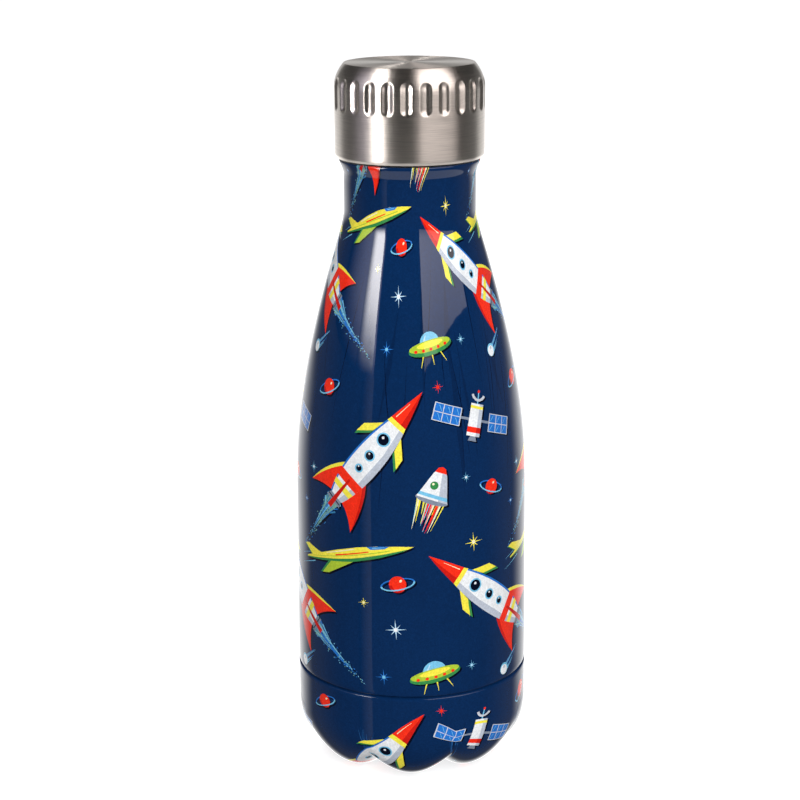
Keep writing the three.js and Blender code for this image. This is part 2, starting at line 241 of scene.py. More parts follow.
class BaseSurface:
    """The outside of the base cup by angle and by distance below the seam."""

    EDGE = 0.3  # the rounded rim beside the groove
    WALL = 10.5  # how far the wall runs down before it turns in
    REACH = 0.2  # half the stretch that a normal is measured over

    def __init__(self):
        angles = [i / 200 * math.pi / 2 for i in range(201)]
        ridge = [petal_corner(a) for a in angles]
        steps = [0] + [math.dist(p, q) for p, q in zip(ridge, ridge[1:])]
        self.along = np.cumsum(steps)
        self.angles = np.array(angles)
        self.foot_at = self.WALL + float(self.along[-1])

    def point(self, angle, down):
        share = petal_share(angle)
        if down <= self.WALL:
            t = down / self.WALL
            z_wall = lerp(GROOVE_TOP[1], PETAL_TOP[1], share)
            rim = max(0.0, 1 - down / self.EDGE)
            r = lerp(BODY_R + 0.1, CUP_R - 0.02, min(1, 2 * t)) - 0.45 * rim**3
            z = lerp(SEAM_Z - 0.25, z_wall, t)
        else:
            a = float(np.interp(down - self.WALL, self.along, self.angles))
            petal = petal_corner(a)
            groove = groove_corner(a)
            r = lerp(groove[0], petal[0], share)
            z = lerp(groove[1], petal[1], share)
        return Vector((r * math.sin(angle), -r * math.cos(angle), z))

    def normal(self, angle, down):
        aside = self.REACH / CUP_R
        across = self.point(angle + aside, down) - self.point(angle - aside, down)
        above = self.point(angle, max(0.0, down - self.REACH))
        below = self.point(angle, min(down + self.REACH, self.foot_at))
        return across.cross(above - below).normalized()


# ------------------------------------------------------------------ the print: small drawings
# A drawing is a list of (colour, outline) pairs, the later ones on top of the earlier ones.
def mirrored(upper):
    """A closed outline from its upper half, drawn from left to right."""
    return upper + [(x, -y) for x, y in reversed(upper) if abs(y) > 1e-6]


def rotated(points, turn):
    """Points turned round the origin by so many degrees."""
    c, s = math.cos(math.radians(turn)), math.sin(math.radians(turn))
    return [(c * x - s * y, s * x + c * y) for x, y in points]


def disc(x, y, rx, ry=None, turn=0.0, count=22):
    """A circle or an ellipse with so many corners."""
    ry = rx if ry is None else ry
    ring = [(rx * math.cos(TAU * i / count), ry * math.sin(TAU * i / count)) for i in range(count)]
    return [(x + a, y + b) for a, b in rotated(ring, turn)]


def bar(x0, y0, x1, y1, w0, w1=None):
    """A straight strip, w0 wide at its start and w1 at its end."""
    w1 = w0 if w1 is None else w1
    size = math.hypot(x1 - x0, y1 - y0)
    nx, ny = -(y1 - y0) / size / 2, (x1 - x0) / size / 2
    return [(x0 + nx * w0, y0 + ny * w0), (x0 - nx * w0, y0 - ny * w0),
            (x1 - nx * w1, y1 - ny * w1), (x1 + nx * w1, y1 + ny * w1)]


def arc_band(rx, ry, width, start, end, turn):
    """Part of an elliptical ring round the origin, from start to end degrees."""
    count = 18
    angles = [math.radians(lerp(start, end, i / count)) for i in range(count + 1)]
    outer = [(rx * math.cos(a), ry * math.sin(a)) for a in angles]
    inner = [((rx - width) * math.cos(a), (ry - width * 0.75) * math.sin(a)) for a in reversed(angles)]
    return rotated(outer + inner, turn)


def star(colour, core, reach):
    """Eight thin points, four of them shorter, round a bright middle."""
    points = []
    for i in range(16):
        a = TAU * i / 16
        r = 0.17 * reach if i % 2 else reach * (1.0 if i % 4 == 0 else 0.66)
        points.append((r * math.sin(a), r * math.cos(a)))
    return [(colour, points), (core, disc(0, 0, reach * 0.2, count=9))]


def exhaust(rng, x, spread, length):
    """A tapering trail of coloured streaks and fine flecks behind x."""
    art = []
    for _ in range(34):
        y = rng.uniform(-spread, spread)
        start = x + rng.uniform(-2.5, 1.0)
        run = length * rng.uniform(0.3, 0.85) * (1.15 - abs(y) / spread)
        colour = rng.choice(["sky", "blue", "blue", "steel_blue", "seafoam", "seafoam"])
        art.append((colour, bar(start, y, start - run, y * 0.4, rng.uniform(0.25, 0.7), 0.06)))
    for _ in range(120):
        share = rng.uniform(0.1, 1.0)
        y = rng.uniform(-spread, spread) * (1.15 - share)
        size = rng.uniform(0.07, 0.2)
        colour = rng.choice(["sky", "steel_blue", "blue", "seafoam", "ink", "ink"])
        art.append((colour, disc(x - share * length, y, size * 1.7, size, count=4)))
    return art


def rocket(seed):
    """A round-bodied rocket with curved fins, flying to the right."""
    art = exhaust(random.Random(seed), -16.5, 2.7, 21)
    tip = (-19.5, 9.2)
    leading = bezier([(-5.5, 3.6), (-10.5, 7.9), tip], 7)
    fin = leading + bezier([tip, (-16.2, 6.0), (-15.2, 2.4)], 5)[1:]
    fin_edge = leading + bezier([tip, (-11.6, 7.0), (-6.8, 3.5)], 7)[1:]
    canard = [(9.6, 3.1), (6.0, 3.9), (2.6, 7.3), (5.6, 7.0)]
    canard_edge = [(6.0, 3.9), (5.1, 4.0), (1.6, 7.3), (2.6, 7.3)]
    for side, edge in ((1, "yellow"), (-1, "deep_red")):
        art.append(("red", [(x, side * y) for x, y in fin]))
        art.append((edge, [(x, side * y) for x, y in fin_edge]))
        art.append(("yellow", [(x, side * y) for x, y in canard]))
        art.append(("green", [(x, side * y) for x, y in canard_edge]))
    art.append(("grey", [(-15, 1.9), (-17.2, 2.7), (-17.2, -2.7), (-15, -1.9)]))
    art.append(("ink", bar(-16.4, 2.4, -16.4, -2.4, 0.3)))
    upper = bezier([(-15.4, 2.3), (-8.5, 4.9), (3.5, 4.9), (12.2, 2.5)], 12)
    art.append(("white", mirrored(upper)))
    shade = [(12.2, -1.3), (3, -2.5), (-8, -2.4), (-15.4, -1.0)]
    art.append(("pale_grey", [(x, -y) for x, y in upper] + shade))
    art.append(("blue", upper + [(x, y - 0.5) for x, y in reversed(upper)]))
    art.append(("yellow", mirrored([(-12.8, 3.05), (-11.2, 3.45)])))
    art.append(("red", mirrored([(-10.2, 3.65), (-7.6, 4.0)])))
    art.append(("yellow", mirrored([(10.9, 2.85), (12.2, 2.5)])))
    for x, size in ((6.2, 1.5), (0.4, 1.1), (-4.2, 0.8)):
        art.append(("sky", disc(x, 0.2, size + 0.4)))
        art.append(("ink", disc(x, 0.2, size)))
        art.append(("white", disc(x + 0.35, 0.6, size * 0.25, count=8)))
    art.append(("deep_red", mirrored([(-19.2, 0.75), (-8.6, 0.3)])))
    nose = bezier([(12.2, 2.5), (17.5, 1.5), (22.5, 0)], 6)
    art.append(("red", mirrored(nose)))
    art.append(("deep_red", [(x, -y) for x, y in nose] + [(12.2, -0.9)]))
    art.append(("cream", bar(13, 1.5, 18.0, 0.7, 0.25, 0.08)))
    return art


def glider():
    """A slim winged craft, flying to the right."""
    top = [(-22, 0.3), (-14, 1.4), (-5, 2.5), (3, 2.9), (10, 2.5), (17, 1.3), (22, 0.1)]
    keel = [(18, -0.7), (10, -1.5), (0, -1.8), (-12, -1.0), (-22, -0.3)]
    return [
        ("sky", bar(-17, -1.4, -26, -2.3, 0.35, 0.05)),
        ("sky", bar(-15, 1.9, -25, 1.0, 0.3, 0.05)),
        ("lime", [(4, -0.8), (-8, -0.8), (-13.5, -4.9), (-10.5, -5.1)]),
        ("green", [(-8, -0.8), (-9.2, -0.8), (-14.5, -4.8), (-13.5, -4.9)]),
        ("yellow", [(-12.5, 1.4), (-18.5, 0.8), (-22.5, 4.4), (-19.8, 4.6)]),
        ("green", bar(-18.5, 0.8, -22.5, 4.4, 0.4, 0.3)),
        ("yellow", top + keel),
        ("green", [(20, -0.25), (10, -0.5), (0, -0.7), (-12, -0.3), (-22, -0.05)] + keel[::-1]),
        ("cream", bar(-10, 1.55, 2, 2.35, 0.25, 0.4)),
        ("lime", bar(-18, 0.4, 14, 0.35, 0.15, 0.35)),
        ("red", bar(-6, 0.75, 7, 1.0, 0.5, 0.35)),
        ("blue", [(14.2, 1.75), (11, 2.35), (6.5, 2.75), (7.8, 1.6), (12.5, 1.2)]),
        ("sky", bar(8.4, 2.1, 12.6, 1.7, 0.3, 0.15)),
    ]


def satellite():
    """A plain drum between two solar panels, with a dish above."""
    dish = [(x, y + 8.2) for x, y in arc_band(2.9, 2.9, 0.9, 205, 335, 0)]
    art = [("sky", bar(0, 4.0, 0, 8.0, 0.4)), ("silver", dish), ("red", disc(0, 8.1, 0.45, count=10))]
    for side in (1, -1):
        art.append(("grey", bar(side * 1.8, 0, side * 5.6, 0, 0.7)))
        art.append(("silver", bar(side * 5.2, 0, side * 14.2, 0, 5.2)))
        for column in range(3):
            x = 5.5 + 2.87 * column
            for y in (-1.25, 1.25):
                art.append(("blue", bar(side * x, y, side * (x + 2.6), y, 2.25)))
                glint = bar(side * (x + 0.4), y - 0.8, side * (x + 1.4), y + 0.8, 0.14)
                art.append(("sky", glint))
    art += [
        ("grey", bar(0, -4.3, 0, -6.0, 1.6, 3.0)),
        ("white", bar(0, -4.6, 0, 4.6, 4.6)),
        ("pale_grey", bar(1.6, -4.6, 1.6, 4.6, 1.4)),
        ("yellow", bar(0, 3.2, 0, 4.0, 4.6)),
        ("red", bar(0, -3.6, 0, -2.0, 4.6)),
        ("deep_red", bar(1.6, -3.6, 1.6, -2.0, 1.4)),
    ]
    return art


def saucer():
    """A flying saucer with a glass dome, three legs and a row of lights."""
    angles = [math.radians(a) for a in range(0, 181, 12)]
    dome = [(3.5 * math.cos(a), 0.6 + 3.4 * math.sin(a)) for a in angles]
    art = [("yellow", bar(x, -1.4, x * 1.7, -5.4, 0.5, 0.1)) for x in (-2.6, 0.0, 2.6)]
    art += [
        ("sky", dome),
        ("ice", bar(-2.0, 1.5, -0.9, 3.2, 0.6, 0.3)),
        ("green", disc(0, -0.5, 7.6, 2.1, count=32)),
        ("lime", disc(0, 0.1, 7.3, 1.6, count=32)),
        ("yellow", disc(0, 0.5, 4.6, 0.9, count=26)),
    ]
    for x in (-5.2, -2.6, 0.0, 2.6, 5.2):
        along_rim = 0.012 * x * x - 0.942
        art.append(("red", disc(x, along_rim, 0.55, 0.45, count=10)))
    return art


def capsule(seed):
    """A blunt capsule that glows behind its heat shield."""
    rng = random.Random(seed)
    art = []
    for _ in range(22):
        y = rng.uniform(-4.3, 4.3)
        colour = rng.choice(["yellow", "red", "cream", "sky"])
        art.append((colour, bar(0.5, y, -rng.uniform(3, 9), y * 0.7, rng.uniform(0.3, 0.7), 0.08)))
    upper = [(0.8, 4.7), (8.4, 2.1), (9.3, 1.5)]
    return art + [
        ("grey", disc(0.7, 0, 1.2, 4.9)),
        ("white", mirrored(upper)),
        ("pale_grey", [(0.8, -4.7), (8.4, -2.1), (9.3, -1.5), (9.3, -0.4), (0.8, -1.9)]),
        ("sky", mirrored([(1.4, 4.5), (2.4, 4.15)])),
        ("green", disc(5.0, 0.7, 1.2)),
        ("cream", disc(5.3, 1.1, 0.35, count=8)),
        ("red", mirrored([(8.9, 1.8), (10.3, 1.1), (10.7, 0)])),
    ]


def ringed_planet(turn):
    """A planet with the back of its ring behind it and the front before it."""
    return [
        ("blue", arc_band(4.4, 1.6, 0.42, 0, 180, turn)),
        ("red", disc(0, 0, 2.15, 2.15, count=30)),
        ("deep_red", arc_band(2.15, 2.15, 0.75, 190, 300, 0)),
        ("cream", disc(0.75, 0.95, 0.42, 0.3, 40, 10)),
        ("sky", arc_band(4.4, 1.6, 0.46, 180, 360, turn)),
    ]


def comet(seed):
    """A small ball with a tail of thin streaks behind it."""
    rng = random.Random(seed)
    art = []
    for _ in range(9):
        y = rng.uniform(-1.5, 1.5)
        colour = rng.choice(["blue", "sky", "seafoam"])
        art.append((colour, bar(0, y, -rng.uniform(4, 9), y * 0.8, 0.34, 0.05)))
    return art + [
        ("sky", disc(0, 0, 1.75)),
        ("white", disc(0.2, 0.15, 1.45)),
        ("pale_grey", disc(-0.3, -0.4, 0.45, count=9)),
    ]


def moved(art, x, y, turn, scale=1.0, flip=False):
    """A drawing turned by so many degrees, scaled, and put at (x, y)."""
    c, s = math.cos(math.radians(turn)) * scale, math.sin(math.radians(turn)) * scale
    side = -1 if flip else 1
    return [(colour, [(x + c * a - s * side * b, y + s * a + c * side * b) for a, b in outline])
            for colour, outline in art]


def area(outline):
    """Positive where the outline runs counter-clockwise."""
    return sum(a[0] * b[1] - b[0] * a[1] for a, b in zip(outline, outline[1:] + outline[:1])) / 2


def with_shadow(art):
    """Puts a dark copy of the larger shapes, a little to one side, behind a drawing."""
    dx, dy, smallest = 0.5, -0.45, 2.5
    large = [outline for _, outline in art if abs(area(outline)) > smallest]
    return [("ink", [(x + dx, y + dy) for x, y in outline]) for outline in large] + art


def degrees_along(angle):
    """The distance round the print that an angle from the front covers."""
    return math.radians(angle) * PRINT_R


def tile():
    """One repeat of the print: x is distance round the bottle, y is height above the seam."""
    # drawing, angle from the front, height, turn, scale, flipped over
    big = [
        (rocket(1), -21.0, 68.0, 50.0, 1.04, False),
        (rocket(2), 41.0, 27.0, 143.0, 1.04, True),
        (glider(), -31.0, 39.5, 13.0, 0.84, False),
        (satellite(), 34.0, 77.0, -17.0, 0.95, False),
        (saucer(), 11.0, 7.0, 12.0, 0.95, False),
        (capsule(3), 9.0, 56.0, 70.0, 0.95, False),
        (ringed_planet(24), -49.0, 85.0, 0, 1.05, False),
        (ringed_planet(-20), 42.0, 58.0, 0, 1.0, False),
        (ringed_planet(12), -7.0, 33.0, 0, 1.1, False),
        (comet(4), 52.0, 3.5, 215, 1.0, False),
    ]
    # colour, colour of the middle, angle, height, reach
    small = [
        ("ice", "white", -8.0, 20.0, 3.0),
        ("yellow", "cream", 31.0, 43.5, 2.8),
        ("blue", "sky", -14.0, 6.0, 2.4),
        ("blue", "ice", 57.0, 52.0, 1.6),
        ("sky", "white", -56.0, 62.0, 1.8),
        ("sky", "white", 27.0, 62.0, 1.6),
        ("sky", "ice", 30.0, 8.0, 1.7),
        ("red", "red", 14.0, 87.0, 1.8),
        ("yellow", "cream", -24.0, 27.0, 1.6),
    ]
    art = []
    for drawing, angle, y, turn, scale, flip in big:
        art += with_shadow(moved(drawing, degrees_along(angle), y, turn, scale, flip))
    for colour, core, angle, y, reach in small:
        art += moved(star(colour, core, reach), degrees_along(angle), y, 4)
    return art


def shrunk_film_shade():
    """Painted shade: fine dark lines for the film's creases and wide faint darker bands for its folds,
    where the printed film was shrunk over the shoulder.
    """
    rng = random.Random(11)
    art = []
    # Both kinds are painted shade, darker than the navy round them.
    # colour, count, range of widths, range of lengths
    kinds = [("fold", 26, (0.8, 2.2), (20, 46)), ("crease_shade", 40, (0.16, 0.34), (14, 48))]
    for colour, count, wide, long in kinds:
        for _ in range(count):
            x = rng.uniform(-math.pi, math.pi) * PRINT_R
            y = rng.uniform(52, 96)
            lean = rng.uniform(-0.2, 0.2)
            run = rng.uniform(*long)
            width = rng.uniform(*wide)
            mid = (x + lean * run / 2 + rng.uniform(-0.5, 0.5), y + run / 2)
            art.append((colour, bar(x, y, mid[0], mid[1], 0.03, width)))
            art.append((colour, bar(mid[0], mid[1], x + lean * run, y + run, width, 0.03)))
    return art


def groove_streaks_sheen_and_shade():
    """Soft streaks down the grooves between the petals: print smeared where the film was stretched, with
    painted sheen in the lighter streaks and painted shade in the dark ones.
    """
    rng = random.Random(5)
    art = []
    for k in range(PETALS):
        x = (PETAL_TURN + TAU * (k + 0.5) / PETALS + math.pi) % TAU * PRINT_R - math.pi * PRINT_R
        for _ in range(18):
            side = rng.gauss(0, 1.2)
            top = rng.uniform(-15, -8)
            run = rng.uniform(5, 12)
            # The lighter streaks are partly painted sheen; the dark crease streaks are painted shade in
            # the grooves.
            colour = rng.choice(["smear_and_sheen", "dim_smudge_and_sheen", "dim_smudge_and_sheen", "crease_shade"])
            wide = rng.uniform(0.15, 0.5)
            art.append((colour, bar(x + side, top, x + side * 0.5, top - run, 0.06, wide)))
    return art


def whole_print(low_y, high_y):
    """Every repeat of the tile that reaches the band from low_y to high_y."""
    one = tile()
    art = shrunk_film_shade() if high_y > 0 else groove_streaks_sheen_and_shade()
    half = math.pi * PRINT_R
    for row in range(-1, 3):
        for column in range(-2, 3):
            for colour, placed in moved(one, column * TILE_W, row * TILE_H, 0):
                xs, ys = zip(*placed)
                if max(xs) > -half and min(xs) < half and max(ys) > low_y and min(ys) < high_y:
                    art.append((colour, placed))
    fine = [(colour, finer(outline + outline[:1], PRINT_STEP)[:-1]) for colour, outline in art]
    return [(colour, line if area(line) > 0 else line[::-1]) for colour, line in fine]


# ------------------------------------------------------------------ materials
def linear(r, g, b):
    """Linear colour from 0-255 sRGB."""
    def one(v):
        v /= 255
        return v / 12.92 if v <= 0.04045 else ((v + 0.055) / 1.055) ** 2.4
    return (one(r), one(g), one(b), 1.0)


PRINT_COLOURS = {
    "navy": (9, 42, 85),
    # crease and fold are painted shade, darker than the navy: crease for the shade in the film's creases
    # and in the base's grooves, fold for the shade in its wide folds
    "crease_shade": (4, 22, 54),
    "fold": (8, 36, 75),
    "ink": (4, 12, 34),
    "red": (250, 50, 28),
    "deep_red": (206, 30, 22),
    "cream": (250, 240, 200),
    "white": (240, 242, 245),
    "ice": (186, 222, 246),
    "pale_grey": (190, 197, 210),
    "silver": (202, 206, 216),
    "grey": (132, 142, 160),
    "yellow": (250, 236, 76),
    "lime": (178, 204, 58),
    "green": (58, 140, 76),
    "sky": (122, 196, 232),
    "blue": (40, 116, 204),
    "seafoam": (122, 172, 158),
    "steel_blue": (58, 128, 178),
    # smear and haze are lighter streaks down the base's grooves: partly print smeared by the stretched
    # film, partly painted sheen where the grooves catch the light
    "smear_and_sheen": (34, 84, 140),
    "dim_smudge_and_sheen": (18, 60, 112),
}


class Nodes:
    """Short names for building the node tree of a material or a world."""

    def __init__(self, name, kind="materials"):
        self.owner = getattr(bpy.data, kind).new(name)
        self.owner.use_nodes = True
        self.tree = self.owner.node_tree
        self.shader = self.tree.nodes.get("Principled BSDF")

    def feed(self, socket, value):
        """Links a socket to another node's output, or gives it a plain value."""
        if isinstance(value, bpy.types.NodeSocket):
            self.tree.links.new(value, socket)
        else:
            socket.default_value = value

    def add(self, kind, inputs=None, **settings):
        node = self.tree.nodes.new("ShaderNode" + kind)
        for key, value in settings.items():
            setattr(node, key, value)
        for key, value in (inputs or {}).items():
            self.feed(node.inputs[key], value)
        return node

    def place(self, kind="Object"):
        return self.add("TexCoord").outputs[kind]

    def parts(self, vector):
        """The X, Y and Z of a vector, by name."""
        return self.add("SeparateXYZ", {"Vector": vector}).outputs

    def noise(self, scale, detail, vector=None, roughness=0.5):
        vector = self.place() if vector is None else vector
        inputs = {"Vector": vector, "Scale": scale, "Detail": detail, "Roughness": roughness}
        return self.add("TexNoise", inputs).outputs["Fac"]

    def mapped(self, value, from_low, from_high, to_low=0.0, to_high=1.0, kind="LINEAR"):
        inputs = {"Value": value, "From Min": from_low, "From Max": from_high,
                  "To Min": to_low, "To Max": to_high}
        return self.add("MapRange", inputs, interpolation_type=kind).outputs["Result"]

    def math(self, operation, a, b):
        return self.add("Math", {0: a, 1: b}, operation=operation).outputs[0]

    def mix(self, share, a, b):
        """Colour a where the share is 0 and b where it is 1."""
        return self.add("Mix", {0: share, 6: a, 7: b}, data_type="RGBA").outputs[2]

    def bump(self, height, strength, distance):
        inputs = {"Height": height, "Strength": strength, "Distance": distance}
        return self.add("Bump", inputs).outputs["Normal"]

    def set(self, **values):
        """Sets the shader's sockets, with _ for the blanks in their names."""
        for key, value in values.items():
            self.feed(self.shader.inputs[key.replace("_", " ")], value)
        return self.owner


def shaded(colour, share):
    """The colour, darker for a share under 1 and lighter for one over it."""
    return tuple(c * share for c in colour[:3]) + (1.0,)


def print_material(name, rgb):
    """Ink under a thick, glossy clear coat, with the fine grain of a printed film."""
    n = Nodes("print_" + name)
    colour = linear(*rgb)
    grain = n.mapped(n.noise(2200, 2.0), 0.3, 0.7)
    mottle = n.mapped(n.noise(750, 2.0), 0.3, 0.7)
    cloud = n.mapped(n.noise(45, 2.0), 0.3, 0.7)
    fine = n.mix(grain, shaded(colour, 0.84), shaded(colour, 1.14))
    coarse = n.mix(mottle, shaded(colour, 0.82), fine)
    base = n.mix(cloud, coarse, fine)
    ripple = n.bump(n.noise(120, 2.0), 0.05, 0.0004)
    return n.set(Base_Color=base, Roughness=0.6, Specular_IOR_Level=0.0, Coat_Weight=1.0,
                 Coat_Roughness=0.03, Coat_IOR=1.5, Coat_Normal=ripple)


def streaks(n):
    """Noise drawn out round the axis, as brushing on a turned part leaves it."""
    fineness, length = 5200.0, 130.0  # per metre, across the lines and along them
    place = n.place()
    flat = n.add("VectorMath", {0: place, 1: (1, 1, 0)}, operation="MULTIPLY").outputs["Vector"]
    reach = n.add("VectorMath", {0: flat}, operation="LENGTH").outputs["Value"]
    across = n.math("SUBTRACT", reach, n.parts(place)["Z"])
    along = n.add("VectorMath", {0: flat, 1: (length, length, 0)}, operation="MULTIPLY").outputs["Vector"]
    lift = n.add("CombineXYZ", {"Z": n.math("MULTIPLY", across, fineness)}).outputs["Vector"]
    total = n.add("VectorMath", {0: along, 1: lift}, operation="ADD").outputs["Vector"]
    return n.noise(1.0, 4.0, total, 0.6)


def steel_material(name, rgb, roughness, anisotropy, depth):
    """Brushed stainless steel, with the brush lines running round the axis."""
    n = Nodes(name)
    colour = linear(*rgb)
    lines = streaks(n)
    base = n.mix(n.mapped(lines, 0.3, 0.7), shaded(colour, 0.84), shaded(colour, 1.08))
    rough = n.mapped(lines, 0.25, 0.75, roughness - 0.05, roughness + 0.05)
    tangent = n.add("Tangent", direction_type="RADIAL", axis="Z").outputs["Tangent"]
    return n.set(Base_Color=base, Metallic=1.0, Roughness=rough, Anisotropic=anisotropy,
                 Anisotropic_Rotation=0.25, Tangent=tangent,
                 Normal=n.bump(lines, depth, 0.00006))


def moulded_material(name, rgb, roughness, subsurface, grain=900.0):
    """Moulded plastic or silicone with a fine surface."""
    n = Nodes(name)
    colour = linear(*rgb)
    base = n.mix(n.mapped(n.noise(120, 3.0), 0.3, 0.7), shaded(colour, 0.95), colour)
    rough = n.mapped(n.noise(400, 2.0), 0.3, 0.7, roughness - 0.05, roughness + 0.05)
    return n.set(Base_Color=base, Roughness=rough, Subsurface_Weight=subsurface, Subsurface_Scale=0.0015,
                 Normal=n.bump(n.noise(grain, 3.0), 0.15, 0.0001))


def foil_material():
    """Thin copper foil, crumpled as it is wound on, with painted shade in the hollows of its folds and
    painted highlight on their tops.
    """
    n = Nodes("crumpled_copper_foil")
    colour = linear(201, 118, 66)
    folds = n.noise(140, 4.0, roughness=0.7)
    # Painted shade and highlight: the colour follows the fold height, darker where the folds sink and
    # lighter where they rise.
    base = n.mix(n.mapped(folds, 0.35, 0.65), shaded(colour, 0.8), shaded(colour, 1.1))
    return n.set(Base_Color=base, Metallic=1.0, Roughness=0.28, Normal=n.bump(folds, 0.6, 0.0006))


def powder_material():
    """Pressed metal powder."""
    n = Nodes("getter_powder")
    colour = linear(92, 92, 96)
    specks = n.noise(3000, 2.0)
    base = n.mix(n.mapped(specks, 0.4, 0.6), shaded(colour, 0.6), shaded(colour, 1.3))
    return n.set(Base_Color=base, Metallic=0.5, Roughness=0.8, Normal=n.bump(specks, 0.6, 0.0002))


def foam_material():
    """Closed-cell foam, with painted shade in the pit of each cell."""
    n = Nodes("stopper_foam")
    cells = n.add("TexVoronoi", {"Vector": n.place(), "Scale": 900.0}).outputs["Distance"]
    colour = linear(244, 242, 234)
    # Painted shade: darker in the middle of each cell, where the bump sinks into a pit.
    base = n.mix(n.mapped(cells, 0.0, 0.8), shaded(colour, 0.8), colour)
    return n.set(Base_Color=base, Roughness=0.95, Normal=n.bump(cells, 0.5, 0.0004))


def glass_material():
    """The dark fused bead that closes the air hole."""
    n = Nodes("fused_bead")
    colour = linear(78, 88, 82)
    base = n.mix(n.noise(900, 3.0), shaded(colour, 0.6), colour)
    ripple = n.bump(n.noise(700, 2.0), 0.2, 0.0002)
    return n.set(Base_Color=base, Roughness=0.12, Coat_Weight=0.6, Normal=ripple)


CAP_STEEL = steel_material("brushed_cap_steel", (230, 222, 213), 0.345, 0.89, 0.2)
BARE_STEEL = steel_material("bare_steel", (200, 198, 194), 0.24, 0.4, 0.2)
PLASTIC = moulded_material("white_moulded_plastic", (236, 236, 232), 0.45, 0.05)
SILICONE = moulded_material("milky_silicone", (226, 230, 232), 0.55, 0.25, 1500.0)
FOIL = foil_material()
POWDER = powder_material()
FOAM = foam_material()
BEAD = glass_material()

# A printed piece has a slot for each ink and then one for bare steel.
INKS = list(PRINT_COLOURS)
NAVY_SLOT = INKS.index("navy")
STEEL_SLOT = len(INKS)
PRINTED = [print_material(name, PRINT_COLOURS[name]) for name in INKS] + [BARE_STEEL]


# ------------------------------------------------------------------ mesh building
def put(name, data):
    """A new object in the scene."""
    made = bpy.data.objects.new(name, data)
    bpy.context.scene.collection.objects.link(made)
    return made


class Mesh:
    """Collects vertices and faces in millimetres and makes one Blender object of them."""

    def __init__(self, name, materials, columns=COLUMNS):
        self.name = name
        self.materials = materials
        self.columns = columns
        self.places = []
        self.normals = {}
        self.faces = []
        self.slots = []

    def vertex(self, place, normal=None):
        """Adds a vertex, with the normal that it is shaded by where one is given."""
        self.places.append(tuple(place))
        if normal is not None:
            self.normals[len(self.places) - 1] = tuple(normal)
        return len(self.places) - 1

    def face(self, corners, slot=0):
        """Adds a face, unless welding has left it fewer than three corners."""
        if len(set(corners)) < 3:
            return
        self.faces.append(corners)
        self.slots.append(slot)

    def ring(self, place):
        """A closed ring of vertices: place(angle) gives each one. Returns (angle, index) pairs."""
        angles = [TAU * i / self.columns - math.pi for i in range(self.columns)]
        return [(a, self.vertex(place(a))) for a in angles]

    def join(self, lower, upper, slot=0):
        """Fills between two rings whose vertices are sorted by angle, however many each has.
        Faces point outwards when `upper` is above `lower` on an outside wall."""
        if len(lower) == len(upper):
            count = len(lower)
            for i in range(count):
                j = (i + 1) % count
                self.face((lower[i][1], lower[j][1], upper[j][1], upper[i][1]), slot)
            return
        a = lower + [(lower[0][0] + TAU, lower[0][1])]
        b = upper + [(upper[0][0] + TAU, upper[0][1])]
        i = j = 0
        while i < len(a) - 1 or j < len(b) - 1:
            step_a = j == len(b) - 1 or (i < len(a) - 1 and a[i + 1][0] <= b[j + 1][0])
            if step_a:
                self.face((a[i][1], a[i + 1][1], b[j][1]), slot)
                i += 1
            else:
                self.face((a[i][1], b[j + 1][1], b[j][1]), slot)
                j += 1

    def grow(self, ring, places, slot=0, down=False):
        """Carries a wall on from a ring through one more ring for each place. Returns the last."""
        for place in places:
            following = self.ring(place)
            lower, upper = (following, ring) if down else (ring, following)
            self.join(lower, upper, slot)
            ring = following
        return ring

    def cap(self, ring, height, upwards=True):
        """Closes a ring with a fan round one vertex on the axis."""
        centre = self.vertex((0, 0, height))
        for (_, p), (_, q) in zip(ring, ring[1:] + ring[:1]):
            self.face((p, q, centre) if upwards else (q, p, centre))

    def build(self):
        data = bpy.data.meshes.new(self.name)
        points = [tuple(c * MM for c in place) for place in self.places]
        data.from_pydata(points, [], self.faces)
        for material in self.materials:
            data.materials.append(material)
        data.polygons.foreach_set("material_index", self.slots)
        data.shade_smooth()
        data.update()
        if self.normals:
            normals = [tuple(v.vector) for v in data.vertex_normals]
            for index, normal in self.normals.items():
                normals[index] = normal
            data.normals_split_custom_set_from_vertices(normals)
        return put(self.name, data)


def on_ring(r, z):
    """A function that gives the point of this ring at an angle."""
    return lambda angle: (r * math.sin(angle), -r * math.cos(angle), z)


def turned(name, outline, material, columns=COLUMNS, shift=None, sharp=38):
    """A solid of revolution. The outline runs outwards along the bottom and back along the top; one
    that doesn't reach the axis closes on itself. shift(r, z, angle) adds to the radius."""
    mesh = Mesh(name, [material], columns)
    shift = shift or (lambda r, z, angle: 0.0)

    def place_on(r, z):
        return lambda angle: on_ring(r + shift(r, z, angle), z)(angle)

    places = [place_on(r, z) for r, z in outline if r > ON_AXIS]
    first = mesh.ring(places[0])
    last = mesh.grow(first, places[1:])
    if len(places) < len(outline):
        mesh.cap(first, outline[0][1], upwards=False)
        mesh.cap(last, outline[-1][1])
    else:
        mesh.join(last, first)
    made = mesh.build()
    made.data.set_sharp_from_angle(angle=math.radians(sharp))
    return made


